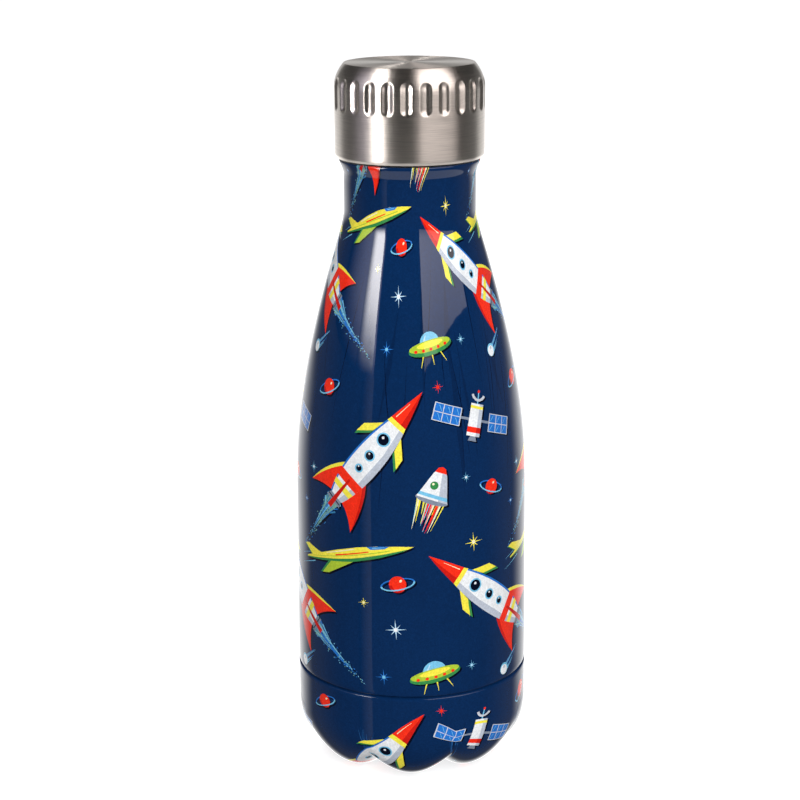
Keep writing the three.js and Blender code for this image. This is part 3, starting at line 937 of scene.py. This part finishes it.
def print_skin(mesh, rows, place, normal, art):
    """Triangulates the unrolled print between the first and last row, bends it on to the surface,
    and returns the rings of vertices along its lowest and highest rows."""
    half = math.pi * PRINT_R
    points = [(-half, rows[0]), (half, rows[0]), (half, rows[-1]), (-half, rows[-1])]
    faces = [[0, 1, 2, 3]]
    points += [(lerp(-half, half, i / COLUMNS), y) for y in rows for i in range(COLUMNS + 1)]
    for _, outline in art:
        faces.append(list(range(len(points), len(points) + len(outline))))
        points += outline
    triangles_inside = 1  # the kind of result that is asked for
    nearest = 1e-5  # points closer than this become one
    flat, _, cells, _, _, sources = delaunay_2d_cdt(
        [Vector(p) for p in points], [], faces, triangles_inside, nearest)
    index = {}
    welded = {}
    lowest, highest = [], []

    def vertex(k):
        if k in index:
            return index[k]
        x, y = flat[k]
        on_join = abs(abs(x) - half) < 1e-3
        key = round(y, 2)
        if on_join and key in welded:
            index[k] = welded[key]
            return welded[key]
        x = -half if on_join else x
        angle = x / PRINT_R
        made = mesh.vertex(place(angle, y), normal(angle, y))
        index[k] = made
        if on_join:
            welded[key] = made
        if abs(y - rows[0]) < 1e-4:
            lowest.append((angle, made))
        if abs(y - rows[-1]) < 1e-4:
            highest.append((angle, made))
        return made

    for cell, source in zip(cells, sources):
        # Face 0 is the whole band, so a cell without it sticks out past an edge.
        if 0 not in source:
            continue
        top = max(source)
        colour = "navy" if top == 0 else art[top - 1][0]
        mesh.face(tuple(vertex(k) for k in cell), INKS.index(colour))
    return sorted(lowest), sorted(highest)


# ------------------------------------------------------------------ the bottle
def printed_wall():
    """The outer wall: printed outside, bare steel mouth and inside."""
    profile = Profile(wall_profile())
    mesh = Mesh("printed_wall", PRINTED)

    def place(angle, y):
        r, z = profile.point(y)
        return on_ring(r, z)(angle)

    def normal(angle, y):
        out, up = profile.normal(y)
        return Vector((out * math.sin(angle), -out * math.cos(angle), up)).normalized()

    rows = [0.0]
    for s in profile.at[1:]:
        start = rows[-1]
        parts = math.ceil((s - start) / PRINT_STEP)
        rows += [start + (s - start) * k / parts for k in range(1, parts + 1)]
    skin_low, skin_high = print_skin(mesh, rows, place, normal, whole_print(0, profile.length))

    mouth = rounded([(COLLAR_R - 0.3, COLLAR_Z + 0.2, 0), (FINISH_R, COLLAR_Z + 0.25, 0.4),
                     (FINISH_R, LIP_Z - 1.5, 0.2), (FINISH_R - SHELL_T, LIP_Z - 1.5, 0.2),
                     (FINISH_R - SHELL_T, COLLAR_Z - 2, 0.5), (NECK_R - SHELL_T, COLLAR_Z - 5, 0.5),
                     (NECK_R - SHELL_T, 160.5, 0)])[1:]
    inside = []
    for s in np.linspace(profile.length - 11.5, 2.0, 40):
        r, z = profile.point(s)
        out, up = profile.normal(s)
        inside.append((r - out * SHELL_T, z - up * SHELL_T))
    inside.append((BODY_R - SHELL_T, SEAM_Z + 0.3))
    ring = mesh.grow(skin_high, [on_ring(r, z) for r, z in mouth + inside], STEEL_SLOT)
    mesh.join(ring, skin_low, STEEL_SLOT)
    return mesh.build()


def printed_base():
    """The petal base: printed outside, plain underneath, with the hole that the air left by."""
    surface = BaseSurface()
    mesh = Mesh("printed_base", PRINTED)
    depth = surface.foot_at

    def place(angle, y):
        return surface.point(angle, -y)

    def normal(angle, y):
        return surface.normal(angle, -y)

    rim = list(np.linspace(0, surface.EDGE, 5))
    below = list(np.linspace(surface.EDGE, depth, 44))
    rows = sorted({-d for d in rim + below})
    skin_low, skin_high = print_skin(mesh, rows, place, normal, whole_print(-depth, 0))

    def under(t):
        """From the petals' feet in to the flat middle."""
        def at(angle):
            share = petal_share(angle)
            r = lerp(PETAL_FOOT[0], MIDDLE_R, t)
            foot = lerp(GROOVE_FOOT[1], PETAL_FOOT[1], share)
            z = lerp(foot, MIDDLE_Z - 0.05, 0.5 - 0.5 * math.cos(math.pi * min(1, 1.1 * t)))
            return (r * math.sin(angle), -r * math.cos(angle), z)
        return at

    steps = 12
    turned_in = [under(k / steps) for k in range(1, steps + 1)]
    ring = mesh.grow(skin_low, turned_in, NAVY_SLOT, down=True)
    flat_top, dimple_top = MIDDLE_Z + SHELL_T, DIMPLE_Z + SHELL_T
    middle = rounded([(MIDDLE_R, MIDDLE_Z - 0.05, 0), (8.9, MIDDLE_Z, 0.3), (3.8, MIDDLE_Z, 0.4),
                      (3.3, DIMPLE_Z, 0.4), (HOLE_R, DIMPLE_Z, 0.1), (HOLE_R, dimple_top, 0.1),
                      (3.6, dimple_top, 0.4), (4.2, flat_top, 0.4), (9.8, flat_top, 0)])[1:]
    ring = mesh.grow(ring, [on_ring(r, z) for r, z in middle], STEEL_SLOT, down=True)

    def inside(down):
        def at(angle):
            outside = surface.point(angle, down)
            return outside - surface.normal(angle, down) * SHELL_T
        return at

    ring = mesh.grow(ring, [inside(d) for d in np.linspace(depth - 3, 4, 26)], STEEL_SLOT, down=True)
    spigot_r = BODY_R - SHELL_T - 0.3
    top = high("base_cup")
    spigot = rounded([(spigot_r - SHELL_T, SEAM_Z - 2, 0), (spigot_r - SHELL_T, top, 0.2),
                      (spigot_r, top, 0.2), (spigot_r, SEAM_Z - 0.2, 0)])
    for r, z in spigot:
        slot = NAVY_SLOT if r == spigot_r else STEEL_SLOT
        ring = mesh.grow(ring, [on_ring(r, z)], slot, down=True)
    mesh.join(skin_high, ring, NAVY_SLOT)
    return mesh.build()


def ridge(z, angle, start_z, turns):
    """How far up a screw ridge the surface is at (z, angle): 0 on the root, 1 on the crest."""
    best = 0.0
    for start in range(STARTS):
        turn = ((angle + math.pi / 2) / TAU - start / STARTS) % 1
        while turn <= turns:
            off = abs(z - start_z - turn * LEAD)
            height = min(1.0, max(0.0, (RIDGE_ROOT - off) / (RIDGE_ROOT - RIDGE_CREST)))
            fade = min(1.0, min(turn, turns - turn) * 6 + 0.05)
            best = max(best, height * height * (3 - 2 * height) * fade)
            turn += 1
    return best


def flask_profile(outset):
    """The flask's side with its shoulder, and the fillet up to its throat."""
    r = FLASK_R + outset
    neck = (FLASK_NECK[0] + outset, FLASK_NECK[1])
    throat = THROAT_R + outset
    side = bezier([(r, SHOULDER_Z), (r, SHOULDER_Z + 14), (r - 1.2, neck[1] - 34), neck], 16)
    fillet = bezier([neck, (throat, THROAT_Z - 5), (throat, THROAT_Z)], 6)
    return side, fillet


def flask_tube():
    """The inner steel vessel, from its welded seam up to the rolled lip, with the thread inside."""
    side_out, fillet_out = flask_profile(FLASK_T)
    side_in, fillet_in = flask_profile(0)
    seam = low("inner_flask")
    seat_low, seat_high = STEM_Z - 0.1, STEM_Z + 2.7
    mouth_out = MOUTH_R + 0.5
    lip = rounded([(THROAT_R + FLASK_T, THROAT_Z, 0), (THROAT_R + FLASK_T, seat_low - 0.8, 0.5),
                   (mouth_out, seat_high - 0.8, 0.5), (mouth_out, LIP_Z - 1.2, 0.15),
                   (FINISH_R + 0.1, LIP_Z - 1.2, 0.35), (FINISH_R + 0.1, LIP_Z, 0.9),
                   (MOUTH_R, LIP_Z, 0.6), (MOUTH_R, LIP_Z - 1, 0)], 5)
    bore = finer([(MOUTH_R, LIP_Z - 1), (MOUTH_R, seat_high + 0.3)], 0.22)
    seat = rounded([(MOUTH_R, seat_high + 0.3, 0), (MOUTH_R, seat_high, 0.3), (THROAT_R, seat_low, 0.6),
                    (THROAT_R, THROAT_Z, 0)])
    outline = [(FLASK_R + FLASK_T, seam)] + side_out + fillet_out[1:] + lip[1:] + bore[1:] + seat[1:]
    outline += fillet_in[::-1][1:] + side_in[::-1][1:] + [(FLASK_R, seam)]

    def thread(r, z, angle):
        on_bore = abs(r - MOUTH_R) < 1e-6 and seat_high < z < LIP_Z - 0.9
        return -0.85 * ridge(z, angle, THREAD_Z, 1.25) if on_bore else 0.0

    return turned("flask_tube", outline, BARE_STEEL, shift=thread, sharp=60)


def flask_bottom():
    """The cup that closes the flask, with a flat floor and a round corner."""
    seam = high("inner_flask_bottom")
    floor = low("inner_flask_bottom")

    def face(outset):
        z = floor + FLASK_T - outset
        r = FLASK_R + outset
        corner = bezier([(16, z), (r, z), (r, z + 11 + outset)], 12)
        return [(0, z), (8, z)] + corner + [(r, seam)]

    return turned("flask_bottom", face(FLASK_T) + face(0)[::-1], BARE_STEEL, sharp=60)


def foil_wrap():
    """Foil wound once round the flask, with fine folds."""
    z0, z1, outside_r = span("radiation_foil")
    r = outside_r - 0.15
    half = 0.05  # of the foil's thickness
    fold = 0.05  # how far a fold stands out
    walls = finer([(r, z0), (r, z1)], 1.5)
    outer = [(r + half, z) for _, z in walls]
    inner = [(r - half, z) for _, z in reversed(walls)]

    def folds(_, z, angle):
        return fold * math.sin(9 * angle + 0.31 * z) * math.sin(0.7 * z + 5 * math.sin(4 * angle))

    return turned("foil_wrap", outer + inner, FOIL, shift=folds, sharp=80)


def getter():
    """The pressed pill of metal powder."""
    z0, z1, r = span("getter_pill")
    outline = rounded([(0, z0, 0), (r, z0, 0.4), (r, z1, 0.4), (0, z1, 0)])
    return turned("getter_disc", outline, POWDER, 64)


def getter_stirrup():
    """The bent strip, with rounded bends, that holds the getter under the flask."""
    (x0, y0, z0), (x1, y1, z1) = (tuple(c / MM for c in corner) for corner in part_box("getter_holder"))
    t = 0.4
    outline = rounded([(x0, z1, 0.1), (x0, z0, 0.8), (x1, z0, 0.8), (x1, z1, 0.1), (x1 - t, z1, 0.1),
                       (x1 - t, z0 + t, 0.4), (x0 + t, z0 + t, 0.4), (x0 + t, z1, 0.1)], 4, closed=True)
    mesh = Mesh("getter_stirrup", [BARE_STEEL])
    count = len(outline)
    front = [mesh.vertex((x, y0, z)) for x, z in outline]
    back = [mesh.vertex((x, y1, z)) for x, z in outline]
    for i in range(count):
        j = (i + 1) % count
        mesh.face((front[i], back[i], back[j], front[j]))
    mesh.face(tuple(front))
    mesh.face(tuple(reversed(back)))
    made = mesh.build()
    made.data.set_sharp_from_angle(angle=math.radians(30))
    return made


def seal_bead():
    """The drop of fused glass over the hole that the air left by."""
    z0, z1, r = span("exhaust_seal_bead")
    angles = [math.radians(9 * k) for k in range(11)]
    dome = [(r * math.sin(a), z1 - (z1 - z0) * math.cos(a)) for a in angles]
    return turned("seal_bead", dome + [(0, z1)], BEAD, 48)


def cover_disc():
    """The disc in the middle of the base, with a shallow pressed ring."""
    z0, z1, r = span("exhaust_cover_disc")
    outline = rounded([(0, z0 + 0.12, 0), (4.6, z0 + 0.12, 0.5), (5.4, z0, 0.4), (r, z0, 0.25),
                       (r, z1, 0.1), (0, z1, 0)])
    return turned("cover_disc", outline, BARE_STEEL, 96)


# ------------------------------------------------------------------ the cap
def flute_depth(z, angle):
    """How deep the pressed flutes are at a place on the cap's side: upright scoops with round ends."""
    half = FLUTE_WIDTH / 2
    turn = ((angle - FLUTE_TURN) * FLUTES / TAU + 0.5) % 1 - 0.5
    across = turn * TAU / FLUTES * CAP_R
    beyond = max(0.0, z - (FLUTE_TOP - half), (FLUTE_BOTTOM + half) - z)
    t = math.hypot(across, beyond) / half
    return FLUTE_DEPTH * (1 - t * t) ** 1.3 if t < 1 else 0.0


def cap_outer():
    """The steel cup: rolled bottom edge, pressed flutes, soft shoulder and flat brushed top."""
    z0, top, r = CAP_BOTTOM_Z, TOP_Z, CAP_R
    lower = rounded([(r - CAP_T, z0 + 2, 0), (r - 1.0, z0 + 0.9, 0.4), (r - 1.0, z0, 0.25),
                     (r - 0.45, z0, 0.15), (r, z0 + 0.8, 0.3), (r, z0 + 3, 0)], 6)
    plain = finer([(r, z0 + 3), (r, FLUTE_BOTTOM - 0.3)], 2.5)
    side = plain + finer([(r, FLUTE_BOTTOM - 0.1), (r, BEVEL_Z)], 0.28)
    curve = bezier([(r, BEVEL_Z), (r, BEVEL_Z + 3), (r - 1.9, top - 0.8), (17.6, top - 0.05)], 24)
    bevel = finer(curve, 0.3)
    roof = bezier([(17.6, top - 0.05), (17.2, top), (16.6, top)], 5) + [(12, top), (6, top), (0, top)]
    inner_r = r - FLUTE_DEPTH - CAP_T
    ceiling = top - CAP_T
    inside = rounded([(0, ceiling, 0), (16.8, ceiling, 1.0), (inner_r - 0.5, top - 3.1, 1.0),
                      (inner_r, BEVEL_Z + 1, 0.8), (inner_r, FLUTE_BOTTOM + 0.1, 0.4),
                      (r - CAP_T, FLUTE_BOTTOM - 0.7, 0.4), (r - CAP_T, z0 + 2, 0)])
    mesh = Mesh("cap_outer", [CAP_STEEL], FLUTES * 24)

    def fluted(ring_r, z):
        return lambda angle: on_ring(ring_r - flute_depth(z, angle), z)(angle)

    outside = lower[1:] + side[1:] + bevel[1:] + roof[1:]
    places = [fluted(ring_r, z) for ring_r, z in outside if ring_r > ON_AXIS]
    rim = mesh.ring(places[0])
    mesh.cap(mesh.grow(rim, places[1:]), top)
    places = [on_ring(ring_r, z) for ring_r, z in inside if ring_r > ON_AXIS]
    middle = mesh.ring(places[0])
    mesh.cap(middle, ceiling, upwards=False)
    mesh.join(mesh.grow(middle, places[1:]), rim)
    return mesh.build()


def cap_inner():
    """The plastic lining, ceiling and threaded stopper in one moulding."""
    z0 = CAP_BOTTOM_Z + 0.9
    top = high("cap_liner")
    ceiling_low, ceiling_high = LIP_Z + 0.5, LIP_Z + 2.5
    lining_top = BEVEL_Z + 2.8
    lining = rounded([(17.6, z0, 0.3), (19.4, z0, 0.3), (19.4, FLUTE_BOTTOM - 1.1, 0.3),
                      (18.8, FLUTE_BOTTOM - 0.3, 0.3), (18.8, BEVEL_Z + 0.6, 0.5),
                      (18.4, lining_top, 0.5), (17.2, lining_top, 0.3), (17.2, ceiling_high, 0.5),
                      (PLUG_R, ceiling_high, 0.5), (PLUG_R, top, 0.3), (PLUG_BORE_R, top, 0.3),
                      (PLUG_BORE_R, STEM_Z, 0.15), (STEM_R, STEM_Z, 0.15), (STEM_R, STEM_Z + 3, 0.2),
                      (PLUG_R, STEM_Z + 3.6, 0.4), (PLUG_R, STEM_Z + 4.5, 0)])
    wall = finer([(PLUG_R, STEM_Z + 4.5), (PLUG_R, ceiling_low - 1)], 0.22)
    roof = rounded([(PLUG_R, ceiling_low - 1, 0), (PLUG_R, ceiling_low, 0.5), (17.6, ceiling_low, 0.5),
                    (17.6, z0 + 1, 0)])

    def thread(r, z, angle):
        on_plug = abs(r - PLUG_R) < 1e-6 and STEM_Z + 4.4 < z < ceiling_low - 0.9
        return 1.1 * ridge(z, angle, THREAD_Z + LEAD / STARTS / 2, 1.1) if on_plug else 0.0

    return turned("cap_inner", lining + wall[1:] + roof[1:], PLASTIC, shift=thread, sharp=50)


def stopper_foam():
    """The plug of foam in the stopper's hollow."""
    z0, z1, r = span("plug_foam")
    outline = rounded([(0, z0, 0), (r, z0, 0.8), (r, z1, 0.8), (0, z1, 0)])
    return turned("stopper_foam", finer(outline, 3), FOAM, 96)


def stopper_end():
    """The disc under the stopper, with a shallow dish and a soft edge."""
    z0, z1, r = span("plug_end_disc")
    rim_z = STEM_Z - 0.3
    spigot = PLUG_BORE_R - 0.3
    outline = rounded([(0, z0 + 0.4, 0), (8.8, z0 + 0.4, 0.8), (9.8, z0, 0.5), (r, z0, 0.8),
                       (r, rim_z, 0.3), (spigot, rim_z, 0.2), (spigot, z1, 0.3), (0, z1, 0)])
    return turned("stopper_end", outline, PLASTIC, 144)


def seal():
    """The silicone ring with two soft ribs on its cone."""
    z0, z1, r = span("seal_ring")
    hole = STEM_R + 0.3
    outline = rounded([(hole, z0, 0.15), (12.9, z0, 0.2), (13.35, z0 + 0.75, 0.15),
                       (13.25, z0 + 0.95, 0.1), (r, z0 + 1.5, 0.25), (r, z0 + 2.3, 0.25),
                       (r - 0.4, z1, 0.2), (hole, z1, 0.15)], closed=True)
    return turned("seal", outline, SILICONE, 144, sharp=70)


# ------------------------------------------------------------------ putting it together
PIECES = [
    # maker, CAD node, body, material slot
    (printed_wall, "outer_shell", "bottle", "printed_paint"),
    (printed_base, "base_cup", "bottle", "printed_paint"),
    (flask_tube, "inner_flask", "bottle", "bare_steel"),
    (flask_bottom, "inner_flask_bottom", "bottle", "bare_steel"),
    (foil_wrap, "radiation_foil", "bottle", "copper_foil"),
    (getter, "getter_pill", "bottle", "getter"),
    (getter_stirrup, "getter_holder", "bottle", "bare_steel"),
    (seal_bead, "exhaust_seal_bead", "bottle", "solder_glass"),
    (cover_disc, "exhaust_cover_disc", "bottle", "bare_steel"),
    (cap_outer, "cap_shell", "cap", "brushed_cap_steel"),
    (cap_inner, "cap_liner", "cap", "white_plastic"),
    (stopper_foam, "plug_foam", "cap", "foam"),
    (stopper_end, "plug_end_disc", "cap", "white_plastic"),
    (seal, "seal_ring", "seal", "silicone"),
]
for make, node, body, slot_name in PIECES:
    piece = make()
    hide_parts(node)
    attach(piece, body)


# ------------------------------------------------------------------ stage, light and camera
def one_sided(n, front):
    """Gives the material `front` on the faces' front, and nothing on their back."""
    back = n.add("NewGeometry").outputs["Backfacing"]
    clear = n.add("BsdfTransparent").outputs[0]
    both = n.add("MixShader", {0: back, 1: front, 2: clear}).outputs[0]
    n.feed(n.tree.nodes["Material Output"].inputs["Surface"], both)
    return n.owner


def floor():
    """A pale floor, which can't be seen from below."""
    half = 6.0
    data = bpy.data.meshes.new("floor")
    corners = [(-half, -half, 0), (half, -half, 0), (half, half, 0), (-half, half, 0)]
    data.from_pydata(corners, [], [(0, 1, 2, 3)])
    n = Nodes("pale_floor")
    tone = n.mix(n.noise(3.0, 2.0), (0.6, 0.6, 0.6, 1), (0.62, 0.62, 0.62, 1))
    n.set(Base_Color=tone, Roughness=0.9, Specular_IOR_Level=0.1, Emission_Color=(1, 1, 1, 1),
          Emission_Strength=0.76)
    data.materials.append(one_sided(n, n.shader.outputs[0]))
    made = put("floor", data)
    made.visible_glossy = False
    made.visible_diffuse = False


def direction(azimuth, elevation):
    """A point on an upright wall of the studio, by its angle from the front and its elevation."""
    a = math.radians(azimuth)
    return Vector((math.sin(a), -math.cos(a), math.tan(math.radians(elevation)))) * STUDIO_R


def fill_light(name, azimuth, elevation, size, energy):
    """A large soft light that shapes the colours and leaves no reflection."""
    data = bpy.data.lights.new(name, "AREA")
    data.size = size
    data.energy = energy
    made = put(name, data)
    made.location = direction(azimuth, elevation)
    made.rotation_euler = made.location.to_track_quat("Z", "Y").to_euler()
    made.visible_camera = False
    made.visible_glossy = False


def glow_material(name, colour, strength, fades):
    """Light that is given off by the front only, and fades over shares of the panel's size. A fade
    is (axis, where it is dark, where it is full)."""
    n = Nodes(name)
    light = strength
    split = n.parts(n.place("Generated"))
    for axis, dark, full in fades:
        light = n.math("MULTIPLY", n.mapped(split[axis], dark, full, kind="SMOOTHSTEP"), light)
    n.tree.nodes.remove(n.shader)
    return one_sided(n, n.add("Emission", {"Color": colour, "Strength": light}).outputs[0])


def reflected(name, points, faces, material):
    """A luminous surface that shows only in the gloss."""
    data = bpy.data.meshes.new(name)
    data.from_pydata(points, [], faces)
    data.materials.append(material)
    made = put(name, data)
    made.visible_camera = False
    made.visible_diffuse = False
    made.visible_shadow = False
    made.visible_transmission = False
    return made


def panel(name, corners, strength, colour, fades):
    """An upright softbox that faces the bottle. Its corners are (angle from the front, elevation
    above the shoulder), counter-clockwise as seen from outside the studio."""
    middle = (min(a for a, _ in corners) + max(a for a, _ in corners)) / 2
    points = []
    for angle, elevation in corners:
        off = math.radians(angle - middle)
        rise = math.tan(math.radians(elevation)) / math.cos(off)
        points.append((STUDIO_R * math.tan(off), STUDIO_R * rise, 0))
    face = tuple(reversed(range(len(points))))
    made = reflected(name, points, [face], glow_material(name, colour, strength, fades))
    made.location = direction(middle, 0) + Vector((0, 0, SHOULDER_TOP[1] * MM))
    made.rotation_euler = (math.pi / 2, 0, math.radians(middle))


def card_collar():
    """A ring of white card under the cap, which lights its lower lip and the collar from below."""
    count = 72
    inner, outer, z = 0.0245, 0.042, 0.15  # metres
    points = [on_ring(r, z)(TAU * i / count) for r in (inner, outer) for i in range(count)]
    faces = [(i, count + i, count + (i + 1) % count, (i + 1) % count) for i in range(count)]
    reflected("card_collar", points, faces, glow_material("card", WHITE, 1.0, ()))


def sky():
    """The studio: an even light on the bottle, and for the gloss a dim room with a bright table and
    a pale wall behind the bottle."""
    n = Nodes("studio", "worlds")
    split = n.parts(n.place("Generated"))

    def graded(axis, *limits):
        return n.mapped(split[axis], *limits, kind="SMOOTHSTEP")

    table = n.math("MULTIPLY", graded("Y", 0.46, 0.84, 0.0, 1.35), graded("Z", -0.21, -0.04, 1.0, 0.0))
    sides = n.math("MULTIPLY", graded("Y", -0.3, 0.4, 0.035, 0.15), graded("Z", -0.1, 0.3, 1.0, 0.25))
    wall = graded("Y", 0.85, 0.96, 0.0, 0.52)
    room = n.math("ADD", n.math("ADD", table, sides), wall)
    even_light = 0.48
    ray = n.add("LightPath").outputs
    light = n.add("Mix", {0: ray["Is Glossy Ray"], 2: even_light, 3: room}).outputs[0]
    background = n.tree.nodes["Background"]
    n.feed(background.inputs["Strength"], n.math("MAXIMUM", light, ray["Is Camera Ray"]))
    n.feed(background.inputs["Color"], WHITE)
    bpy.context.scene.world = n.owner


def camera():
    """A long lens at the front, looking a little down on the bottle."""
    data = bpy.data.cameras.new("camera")
    data.lens = 88.9
    data.sensor_width = 36.0
    made = put("camera", data)
    made.location = (-0.003, -0.5307, 0.2491)
    down, lean = 0.268, 0.0058
    tilt = Matrix.Rotation(math.pi / 2 - down, 3, "X") @ Matrix.Rotation(-lean, 3, "Z")
    made.rotation_euler = tilt.to_euler()
    bpy.context.scene.camera = made


floor()
sky()
panel("left_strip", [(-67, 4), (-43, 4), (-43, 45), (-67, 45)], 19, (1, 0.97, 0.96, 1),
      [("X", 0.05, 0.55), ("Y", 0.0, 0.27)])
panel("left_panel", [(-104, 3), (-41, 3), (-41, 28), (-104, 28)], 2.4, (0.88, 0.84, 1, 1),
      [("X", 0.0, 0.8), ("Y", 0.0, 0.3)])
panel("left_glow", [(-54, -40), (-40, -40), (-40, 5), (-54, 5)], 0.35, WHITE, [("X", 0.0, 1.0)])
panel("right_window", [(15, 8), (48, 11.4), (77, 9.8), (77, 60), (15, 60)], 3.4, (1, 0.93, 0.92, 1),
      [("Y", -0.2, 0.22)])
card_collar()
fill_light("front_fill", 12, 35, 1.0, 18)
fill_light("back_fill", 185, 35, 1.0, 15)
camera()
bpy.context.scene.view_settings.view_transform = "Standard"
